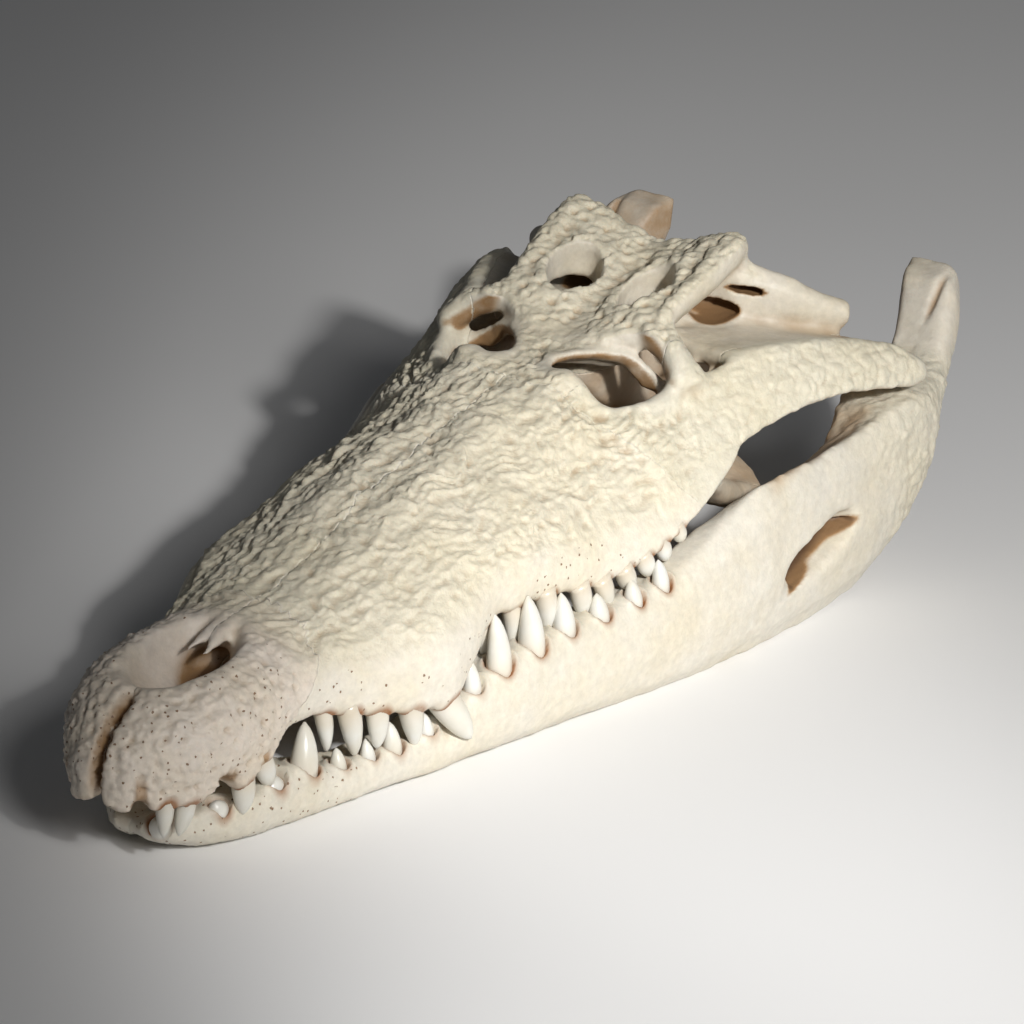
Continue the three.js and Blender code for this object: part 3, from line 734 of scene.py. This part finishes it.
def shape_jaw(obj):
    """The groove and the flared top of the rear prong of the lower jaw."""
    p = to_skull(get_points(obj))
    n = get_normals(obj)
    push = np.zeros(len(p))
    middle, reach, depth = JAW_GROOVE
    push -= depth * np.exp(-mirrored_reach(p, middle, reach) ** 2)
    flare = np.exp(-((p[:, 2] - 118) / 9) ** 2) * fade(p[:, 1], 590, 600)
    push += 1.6 * flare * (1 - fade(n[:, 2], 0.3, 0.8))
    set_points(obj, to_world(p + n * push[:, None]))


# The same for the lower jaw.
JAW_PLATE = (6.0, 11.0, 6.0)
JAW_LUMP = (3.0, 4.4, 3.0)
JAW_RIDGE = (12.0, 30.0, 7.0)


def relief_jaw(obj):
    """Plates, ridges and tooth collars of the lower jaw; also writes where brown stain and painted shade
    go.
    """
    p = to_skull(get_points(obj))
    n = get_normals(obj)
    warp = np.stack([noise(p / 11.0, 80 + k) for k in range(3)], axis=1)
    near, far = cells((p + warp * 3) / JAW_PLATE, 33)
    plates = np.clip((far - near) * 2.0, 0, 1) ** 0.6
    small_near, small_far = cells((p + warp * 1.2) / JAW_LUMP, 35)
    lumps = np.sqrt(np.clip(small_far - small_near, 0, 1))
    ridges = np.clip(1 - np.abs(noise((p + warp * 5) / JAW_RIDGE, 25)) * 2.4, 0, 1)
    fine = fractal(p / 2.8, 91, 2)
    broad = fractal(p / 26.0, 97, 3)
    column = fade(p[:, 1], 586, 600) * fade(p[:, 2], 66, 80)
    rear = fade(p[:, 1] + (p[:, 2] - 20) * 0.3, 480, 540) * (1 - column)
    front = 1 - fade(p[:, 1], 100, 200)
    height = rear * ((plates - 0.6) * 0.8 + ridges * 1.0)
    height += (1 - rear) * (1 - column) * ridges * 0.25
    height += fine * (0.10 + 0.1 * front) + (lumps - 0.5) * (0.12 + 0.5 * front) + broad * 0.8
    q = p + n * height[:, None]
    edge = along(LOWER_EDGE, p[:, 1], 2)
    rim = fade(p[:, 2] - edge + 8, 0, 6) * (1 - fade(p[:, 1], 345, 360))
    lift = np.zeros(len(p))
    for row in LOWER_TEETH:
        for base, _, radius in both_sides(row):
            gap = np.hypot(p[:, 0] - base[0], p[:, 1] - base[1])
            collar = 1.9 * np.exp(-((gap - radius - 2.2) / 1.5) ** 2)
            lift += collar - 2.6 * (1 - fade(gap, radius, radius + 1.4))
    q[:, 2] += lift * rim
    world = to_world(q)
    world[:, 2] = np.maximum(world[:, 2], 0.0)
    set_points(obj, world)
    write_attribute(obj, "rough", np.clip(rear * 0.8, 0, 1))
    # Stain and painted shade on the jaw: the trough behind the teeth and the groove of the rear prong are
    # darkened where shade falls, faces that look in towards the other half get painted shade, and the rear
    # column is browner, most on its right side.
    trough = fade(p[:, 1], 405, 420) * (1 - fade(p[:, 1], 510, 525))
    trough = trough * (1 - fade(np.abs(p[:, 0]), 108, 113)) * 0.6
    inward = fade(-n[:, 0] * np.sign(p[:, 0]), 0.2, 0.8) * 0.35
    middle, reach, _ = JAW_GROOVE
    groove = np.exp(-mirrored_reach(p, middle, np.array(reach) * 0.9) ** 2) * 0.5
    amber = column * (1 - fade(p[:, 0], -20, 20)) * 0.45 + column * 0.12
    stain_and_shade = trough + inward + groove + amber + cut_wall_shade(p, JAW_CUTS) * 1.8
    write_attribute(obj, "stain_and_shade", np.clip(stain_and_shade, 0, 2))
    write_attribute(obj, "socket", socket_nearness(p, LOWER_TEETH))
    write_attribute(obj, "pores", np.clip(front * 0.9 + 0.08, 0, 1))


HOLLOW_DEPTH = 0.55


def write_hollow(obj):
    """Where the surface dips below its surroundings, from -1 on crests to 1 in grooves."""
    spread = Spread(obj)
    p = get_points(obj)
    n = get_normals(obj)
    q = p
    for _ in range(5):
        q = spread.mean3(q)
    dip = ((q - p) * n).sum(axis=1) * 1000.0
    near = dip
    for _ in range(2):
        near = spread.mean(near)
    # The bone material paints shade into the grooves from this.
    write_attribute(obj, "hollow", np.clip(near / HOLLOW_DEPTH, -1, 1))


# ---- Parting the bones ---------------------------------------------------------------------------
SUTURE = 0.00018
HAIRLINE = 0.00006
SHEET_CELLS = 170
SHEET_SIZE = 0.5
FEWEST_POINTS = 200
# A place on each join and the way its plane faces.
PARTINGS = {
    "snout": ((0, 93, 52), (0, 0.728, -0.685)),
    "orbit": ((0, 368, 70), (0, 0.873, 0.489)),
    "palate": ((0, 440, 68), (0, 0, 1)),
    "roof": ((0, 440, 107.2), (0, -0.03, 1)),
    "cheek_l": ((54, 400, 90), (0.931, -0.365, 0)),
    "cheek_r": ((-54, 400, 90), (-0.931, -0.365, 0)),
    "middle": ((0, 200, 60), (1, 0, 0)),
}


def suture_sheet(name):
    """A thin wavy sheet to part two bones along their join."""
    at, facing = PARTINGS[name]
    bpy.ops.mesh.primitive_grid_add(
        x_subdivisions=SHEET_CELLS, y_subdivisions=SHEET_CELLS, size=SHEET_SIZE, location=(0, 0, 0))
    sheet = bpy.context.view_layer.objects.active
    facing = Vector(facing).normalized()
    turn = facing.to_track_quat("Z", "Y").to_matrix().to_4x4()
    local = get_points(sheet) * 1000.0
    flat = np.array(turn.to_3x3()) @ local.T
    p = flat.T + np.array(at)
    wiggle = noise(p / 5.0, 7) * 1.1 + noise(p / 14.0, 8) * 1.6
    p = p + np.array(facing) * wiggle[:, None]
    set_points(sheet, to_world(p))
    width = SUTURE if name == "snout" else HAIRLINE
    apply(sheet, "SOLIDIFY", thickness=width, offset=0.0)
    return sheet


def part(obj, name):
    sheet = suture_sheet(name)
    apply(obj, "BOOLEAN", operation="DIFFERENCE", solver="MANIFOLD", object=sheet)
    bpy.data.objects.remove(sheet)


def loose_parts(obj):
    edit_whole(obj, bpy.ops.mesh.separate, type="LOOSE")
    return list(bpy.context.selected_objects)


def side_of(points, name):
    """Millimetres in front of a parting plane, below 0 behind it."""
    at, facing = PARTINGS[name]
    return (points - np.array(at)) @ np.array(facing)


def left_or_right(middle):
    return "left" if middle[0] > 0 else "right"


def gather(parts, choose):
    """Joins loose parts into named groups; crumbs too small to be a bone go."""
    groups = {}
    for obj in parts:
        if len(obj.data.vertices) < FEWEST_POINTS:
            bpy.data.objects.remove(obj)
            continue
        middle = to_skull(get_points(obj)).mean(axis=0)
        groups.setdefault(choose(middle), []).append(obj)
    result = {}
    for name, members in groups.items():
        only(members[0])
        for obj in members:
            obj.select_set(True)
        if len(members) > 1:
            bpy.ops.object.join()
        result[name] = bpy.context.view_layer.objects.active
    return result


def part_cranium(cranium):
    """The named bones of the skull, each cut from its neighbours."""
    part(cranium, "snout")
    part(cranium, "orbit")

    def by_length(m):
        if side_of(m, "snout") < 0:
            return "premaxilla"
        return "maxilla" if side_of(m, "orbit") < 0 else "rear"

    thirds = gather(loose_parts(cranium), by_length)
    bones = {}
    for name in ("premaxilla", "maxilla"):
        part(thirds[name], "middle")
        halves = gather(loose_parts(thirds[name]), left_or_right)
        for side, obj in halves.items():
            bones[name + "_" + side] = obj
    rear = thirds["rear"]
    for name in ("palate", "cheek_l", "cheek_r"):
        part(rear, name)

    def by_place(m):
        if side_of(m, "palate") < 0:
            return "palate"
        if side_of(m, "cheek_l") > 0:
            return "cheek_left"
        return "cheek_right" if side_of(m, "cheek_r") > 0 else "core"

    bones.update(gather(loose_parts(rear), by_place))
    core = bones.pop("core")
    part(core, "roof")

    def by_height(m):
        return "skull_roof" if side_of(m, "roof") > 0 else "braincase"

    bones.update(gather(loose_parts(core), by_height))
    return bones


# ---- Materials -------------------------------------------------------------------------------------
def new_material(name):
    material = bpy.data.materials.new(name)
    material.use_nodes = True
    return material, material.node_tree.nodes, material.node_tree.links


def node(nodes, kind, **values):
    made = nodes.new(kind)
    for key, value in values.items():
        if hasattr(made, key):
            setattr(made, key, value)
        else:
            made.inputs[key].default_value = value
    return made


def mix_colour(nodes, links, factor, first, second, blend="MIX"):
    mixer = nodes.new("ShaderNodeMix")
    mixer.data_type = "RGBA"
    mixer.blend_type = blend
    for socket, value in ((0, factor), (6, first), (7, second)):
        if isinstance(value, (int, float, tuple)):
            mixer.inputs[socket].default_value = value
        else:
            links.new(value, mixer.inputs[socket])
    return mixer.outputs[2]


def maths(nodes, links, operation, first, second=None, clamp=False):
    made = nodes.new("ShaderNodeMath")
    made.operation = operation
    made.use_clamp = clamp
    for socket, value in ((0, first), (1, second)):
        if value is None:
            continue
        if isinstance(value, (int, float)):
            made.inputs[socket].default_value = value
        else:
            links.new(value, made.inputs[socket])
    return made.outputs[0]


def ramp(nodes, links, source, stops):
    made = nodes.new("ShaderNodeValToRGB")
    made.color_ramp.elements[0].position = stops[0][0]
    made.color_ramp.elements[0].color = stops[0][1]
    made.color_ramp.elements[1].position = stops[-1][0]
    made.color_ramp.elements[1].color = stops[-1][1]
    for place, colour in stops[1:-1]:
        made.color_ramp.elements.new(place).color = colour
    links.new(source, made.inputs[0])
    return made.outputs[0]


def attribute(nodes, name):
    return node(nodes, "ShaderNodeAttribute", attribute_name=name).outputs["Fac"]


def texture(nodes, links, kind, place, **values):
    """A pattern node that reads its place from the given socket."""
    made = node(nodes, kind, **values)
    links.new(place, made.inputs["Vector"])
    return made


def grey(value):
    return (value, value, value, 1.0)


RUGGED_CREAM = (0.73, 0.67, 0.50, 1.0)
GROOVE_SHADE_BROWN = (0.33, 0.22, 0.12, 1.0)
# Brown of the stain and painted shade in the recesses.
STAIN_AND_SHADE_BROWN = (0.36, 0.215, 0.10, 1.0)
DEEP_SHADE_AND_STAIN_BROWN = (0.10, 0.055, 0.03, 1.0)
NECK_BROWN = (0.27, 0.11, 0.035, 1.0)
PORE_SHADE_BROWN = (0.24, 0.15, 0.09, 1.0)
HOLE_RADIUS = 0.15
HOLE_SHAKE = (0.0011, 0.0011, 0.0011)


def bone_material(name, base, warm):
    """Dry bone: pale cream, brown in the sockets, brown stain and painted shade in recesses, painted shade
    in grooves and in small pin holes.
    """
    material, nodes, links = new_material(name)
    shader = nodes["Principled BSDF"]
    place = nodes.new("ShaderNodeTexCoord").outputs["Object"]
    hollow, stain_and_shade, rough, socket, pores = (
        attribute(nodes, key) for key in ("hollow", "stain_and_shade", "rough", "socket", "pores"))

    def clouds(**values):
        return texture(nodes, links, "ShaderNodeTexNoise", place, **values)

    patches = clouds(Scale=22.0, Detail=4.0, Roughness=0.6)
    broad = ramp(nodes, links, patches.outputs["Fac"], [(0.38, grey(0)), (0.66, grey(1))])
    colour = mix_colour(nodes, links, broad, base, warm)
    rugose = maths(nodes, links, "MULTIPLY", rough, 0.55)
    colour = mix_colour(nodes, links, rugose, colour, RUGGED_CREAM)

    speck = clouds(Scale=260.0, Detail=3.0, Roughness=0.65)
    grain = ramp(nodes, links, speck.outputs["Fac"], [(0.3, grey(0.86)), (0.7, grey(1.0))])
    colour = mix_colour(nodes, links, 1.0, colour, grain, "MULTIPLY")

    # Painted shade in the grooves: where the surface dips below its surroundings it turns brown.
    groove = ramp(nodes, links, hollow, [(0.12, grey(0)), (0.95, grey(1))])
    groove = maths(nodes, links, "MULTIPLY", groove, 0.62)
    colour = mix_colour(nodes, links, groove, colour, GROOVE_SHADE_BROWN)

    # Brown stain and painted shade in the recesses, from the attribute written by the relief steps, made
    # patchy by noise.
    blotch = clouds(Scale=90.0, Detail=4.0, Roughness=0.6)
    uneven = ramp(nodes, links, blotch.outputs["Fac"], [(0.25, grey(0.55)), (0.6, grey(1.0))])
    stain_and_shade_amount = maths(nodes, links, "MULTIPLY", stain_and_shade, uneven)
    stain_and_shade_amount = maths(nodes, links, "MULTIPLY", stain_and_shade_amount, 0.92, clamp=True)
    colour = mix_colour(nodes, links, stain_and_shade_amount, colour, STAIN_AND_SHADE_BROWN)
    # Darkest brown where the recess marks add up past 1: painted shade and stain in the openings, the
    # orbit, the naris slot and the cleft.
    deep_shade_and_stain = maths(nodes, links, "SUBTRACT", stain_and_shade, 1.0, clamp=True)
    colour = mix_colour(nodes, links, deep_shade_and_stain, colour, DEEP_SHADE_AND_STAIN_BROWN)

    neck = ramp(nodes, links, socket, [(0.15, grey(0)), (0.8, grey(1))])
    neck = maths(nodes, links, "MULTIPLY", neck, uneven)
    colour = mix_colour(nodes, links, neck, colour, NECK_BROWN)

    # Pin holes: small brown dots of painted shade for the inside of the pores, with a dent from the
    # inverted bump further down.
    shake = clouds(Scale=900.0, Detail=1.0)
    shifted = nodes.new("ShaderNodeVectorMath")
    shifted.operation = "MULTIPLY_ADD"
    links.new(shake.outputs["Color"], shifted.inputs[0])
    shifted.inputs[1].default_value = HOLE_SHAKE
    links.new(place, shifted.inputs[2])
    holes = texture(nodes, links, "ShaderNodeTexVoronoi", shifted.outputs[0], Scale=250.0, Randomness=1.0)
    hole = maths(nodes, links, "LESS_THAN", holes.outputs["Distance"], HOLE_RADIUS)
    scatter = clouds(Scale=34.0, Detail=1.0)
    keep = maths(nodes, links, "MULTIPLY", pores, 0.7)
    some = maths(nodes, links, "LESS_THAN", scatter.outputs["Fac"], keep)
    hole = maths(nodes, links, "MULTIPLY", hole, some)
    colour = mix_colour(nodes, links, hole, colour, PORE_SHADE_BROWN)
    links.new(colour, shader.inputs["Base Color"])

    shine = ramp(nodes, links, patches.outputs["Fac"], [(0.3, grey(0.44)), (0.7, grey(0.58))])
    links.new(shine, shader.inputs["Roughness"])
    shader.inputs["Specular IOR Level"].default_value = 0.4
    shader.inputs["Subsurface Weight"].default_value = 0.12
    shader.inputs["Subsurface Radius"].default_value = (0.006, 0.004, 0.003)
    shader.inputs["Subsurface Scale"].default_value = 0.5

    micro = clouds(Scale=700.0, Detail=4.0, Roughness=0.6)
    bump = node(nodes, "ShaderNodeBump", Strength=0.35, Distance=0.0005)
    links.new(micro.outputs["Fac"], bump.inputs["Height"])
    crumble = clouds(Scale=240.0, Detail=4.0, Roughness=0.62)
    creases = texture(nodes, links, "ShaderNodeTexVoronoi", shifted.outputs[0], Scale=210.0, Randomness=1.0)
    creases.feature = "SMOOTH_F1"
    uneven_height = maths(nodes, links, "SUBTRACT", crumble.outputs["Fac"], creases.outputs["Distance"])
    coarse = node(nodes, "ShaderNodeBump", Distance=0.0012)
    links.new(uneven_height, coarse.inputs["Height"])
    depth = maths(nodes, links, "MULTIPLY_ADD", rough, 0.45)
    depth.node.inputs[2].default_value = 0.16
    links.new(depth, coarse.inputs["Strength"])
    links.new(bump.outputs["Normal"], coarse.inputs["Normal"])
    deep = node(nodes, "ShaderNodeBump", Strength=0.8, Distance=0.0008)
    deep.invert = True
    links.new(hole, deep.inputs["Height"])
    links.new(coarse.outputs["Normal"], deep.inputs["Normal"])
    links.new(deep.outputs["Normal"], shader.inputs["Normal"])
    return material


ENAMEL_WHITE = (0.74, 0.74, 0.70, 1.0)
ENAMEL_CREAM = (0.67, 0.64, 0.55, 1.0)
ENAMEL_NECK = (0.60, 0.50, 0.36, 1.0)


def enamel_material():
    """Tooth enamel: white with a tan neck."""
    material, nodes, links = new_material("enamel")
    shader = nodes["Principled BSDF"]
    place = nodes.new("ShaderNodeTexCoord").outputs["Object"]
    tone = texture(nodes, links, "ShaderNodeTexNoise", place, Scale=60.0, Detail=3.0)
    colour = ramp(nodes, links, tone.outputs["Fac"], [(0.3, ENAMEL_WHITE), (0.7, ENAMEL_CREAM)])
    low = ramp(nodes, links, attribute(nodes, "socket"), [(0.5, grey(0)), (0.9, grey(0.6))])
    colour = mix_colour(nodes, links, low, colour, ENAMEL_NECK)
    links.new(colour, shader.inputs["Base Color"])
    shader.inputs["Roughness"].default_value = 0.28
    shader.inputs["Specular IOR Level"].default_value = 0.5
    shader.inputs["Subsurface Weight"].default_value = 0.15
    shader.inputs["Subsurface Radius"].default_value = (0.004, 0.004, 0.004)
    shader.inputs["Subsurface Scale"].default_value = 0.5
    line = texture(nodes, links, "ShaderNodeTexNoise", place, Scale=420.0, Detail=2.0)
    bump = node(nodes, "ShaderNodeBump", Strength=0.12, Distance=0.0004)
    links.new(line.outputs["Fac"], bump.inputs["Height"])
    links.new(bump.outputs["Normal"], shader.inputs["Normal"])
    return material


# ---- Build --------------------------------------------------------------------------------------------
# Rounds of smoothing, before the relief and after the openings are cut.
SKULL_ROUNDS = 70
JAW_ROUNDS = 40
SKULL_FINISH = 8
JAW_FINISH = 5
PRONG_CELL = FINE * 1.4
JAW_CELL = FINE * 1.08


def snout_weight(p):
    """Smooths the snout in full and the thin bars behind it less."""
    return 1.0 - 0.6 * fade(p[:, 1], 320, 380)


def build_bones():
    cranium = joined_copy(CRANIUM_NODES, "cranium")
    remesh(cranium, COARSE)
    lift_tooth_line(cranium, True)
    remesh(cranium, COARSE)
    smooth(cranium, SKULL_ROUNDS, snout_weight)
    shape_cranium(cranium)
    add_prongs(cranium)
    remesh(cranium, PRONG_CELL)
    cut_openings(cranium, SKULL_CUTS)
    remesh(cranium, FINE)
    smooth(cranium, SKULL_FINISH)
    relief_cranium(cranium)
    write_hollow(cranium)
    bones = part_cranium(cranium)
    jaw = joined_copy(["mandible_left", "mandible_right"], "jaw")
    remesh(jaw, COARSE)
    lift_tooth_line(jaw, False)
    remesh(jaw, COARSE)
    smooth(jaw, JAW_ROUNDS)
    shape_jaw(jaw)
    cut_openings(jaw, JAW_CUTS)
    remesh(jaw, JAW_CELL)
    smooth(jaw, JAW_FINISH)
    relief_jaw(jaw)
    write_hollow(jaw)
    part(jaw, "middle")
    halves = gather(loose_parts(jaw), left_or_right)
    for side, half in halves.items():
        bones["mandible_" + side] = half
    return bones


# Base colour and warm patches of each kind of bone. The premaxilla and maxilla are set lighter as painted
# light, to make up for the weaker light on the front of the snout.
BONE_TONES = {
    "premaxilla": ((0.77, 0.69, 0.60, 1.0), (0.75, 0.66, 0.54, 1.0)),
    "maxilla": ((0.77, 0.72, 0.62, 1.0), (0.75, 0.68, 0.53, 1.0)),
    "cheek": ((0.71, 0.67, 0.56, 1.0), (0.68, 0.62, 0.47, 1.0)),
    "skull_roof": ((0.70, 0.65, 0.55, 1.0), (0.66, 0.59, 0.45, 1.0)),
    "braincase": ((0.66, 0.60, 0.50, 1.0), (0.60, 0.50, 0.38, 1.0)),
    "palate": ((0.64, 0.57, 0.46, 1.0), (0.56, 0.46, 0.33, 1.0)),
    "mandible": ((0.71, 0.67, 0.58, 1.0), (0.69, 0.63, 0.50, 1.0)),
}
TIP_END = 100
TOOTH_OWNERS = {
    "premaxilla": (UPPER_TEETH, lambda y: y < TIP_END),
    "maxilla": (UPPER_TEETH, lambda y: y >= TIP_END),
    "mandible": (LOWER_TEETH, lambda y: True),
}


def dress(bones):
    """Gives each bone its material, its teeth and its place in the frame."""
    enamel = enamel_material()
    for name, obj in sorted(bones.items()):
        kind = name.rsplit("_", 1)[0] if name.endswith(("_left", "_right")) else name
        obj.name = name + "_bone"
        obj.data.materials.clear()
        obj.data.materials.append(bone_material(name + "_dry_bone", *BONE_TONES[kind]))
        only(obj)
        bpy.ops.object.shade_smooth()
        if kind in TOOTH_OWNERS:
            rows, fits = TOOTH_OWNERS[kind]
            sign = 1 if name.endswith("left") else -1
            teeth = make_teeth(rows, name + "_teeth", lambda b: b[0] * sign > 0 and fits(b[1]))
            teeth.data.materials.append(enamel)
            join(obj, [teeth])
        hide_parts(name)
        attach(obj, "root")


FLOOR_SIZE = 14.0
FLOOR_HEIGHT = -0.0001


def make_floor():
    bpy.ops.mesh.primitive_plane_add(size=FLOOR_SIZE, location=(0, 0, FLOOR_HEIGHT))
    floor = bpy.context.view_layer.objects.active
    floor.name = "studio_floor"
    material, nodes, links = new_material("pale_floor")
    shader = nodes["Principled BSDF"]
    place = nodes.new("ShaderNodeTexCoord").outputs["Object"]
    soft = texture(nodes, links, "ShaderNodeTexNoise", place, Scale=1.5, Detail=2.0)
    colour = ramp(nodes, links, soft.outputs["Fac"], [(0.3, grey(0.83)), (0.7, grey(0.86))])
    links.new(colour, shader.inputs["Base Color"])
    shader.inputs["Roughness"].default_value = 0.7
    floor.data.materials.append(material)


# All lamps stand in one direction, so that they throw one shadow: a wide one that lights the
# background, a narrow one that makes the bright pool round the skull and a large soft one.
LAMP_WAY = Vector((0.6707, -0.4873, 0.5592))
LAMP_COLOUR = (1.0, 0.985, 0.965)
SPOT_DISTANCE = 2.0
SPOT_RADIUS = 0.06
SOFT_DISTANCE = 3.2
SOFT_SIZE = 1.0
SOFT_POWER = 27.0
SKY_COLOUR = (0.92, 0.95, 1.0, 1.0)
SKY_STRENGTH = 0.045
# Name, power, cone in degrees, blend and the place it aims at.
SPOTS = [
    ("wide", 118.0, 76.8, 0.3, (1.07, 0.005, 0.0)),
    ("pool", 44.0, 15.0, 1.0, (0.11, -0.02, 0.0)),
]


def add_lamp(data, place, aim):
    data.color = LAMP_COLOUR
    lamp = add_object(data.name, data)
    turn = (place - Vector(aim)).to_track_quat("Z", "Y").to_matrix().to_4x4()
    lamp.matrix_world = Matrix.Translation(place) @ turn


def make_lights():
    for name, power, size, blend, aim in SPOTS:
        data = bpy.data.lights.new(name, "SPOT")
        data.energy = power
        data.shadow_soft_size = SPOT_RADIUS
        data.spot_size = radians(size)
        data.spot_blend = blend
        add_lamp(data, LAMP_WAY * SPOT_DISTANCE, aim)
    data = bpy.data.lights.new("soft", "AREA")
    data.shape = "DISK"
    data.size = SOFT_SIZE
    data.energy = SOFT_POWER
    add_lamp(data, LAMP_WAY * SOFT_DISTANCE, (0.0, 0.0, 0.0))
    world = bpy.data.worlds.new("studio")
    bpy.context.scene.world = world
    world.use_nodes = True
    sky = world.node_tree.nodes["Background"]
    sky.inputs["Color"].default_value = SKY_COLOUR
    sky.inputs["Strength"].default_value = SKY_STRENGTH


bones = build_bones()
dress(bones)
make_floor()
make_lights()
make_camera()
bpy.context.scene.view_settings.view_transform = "Standard"
bpy.context.view_layer.update()
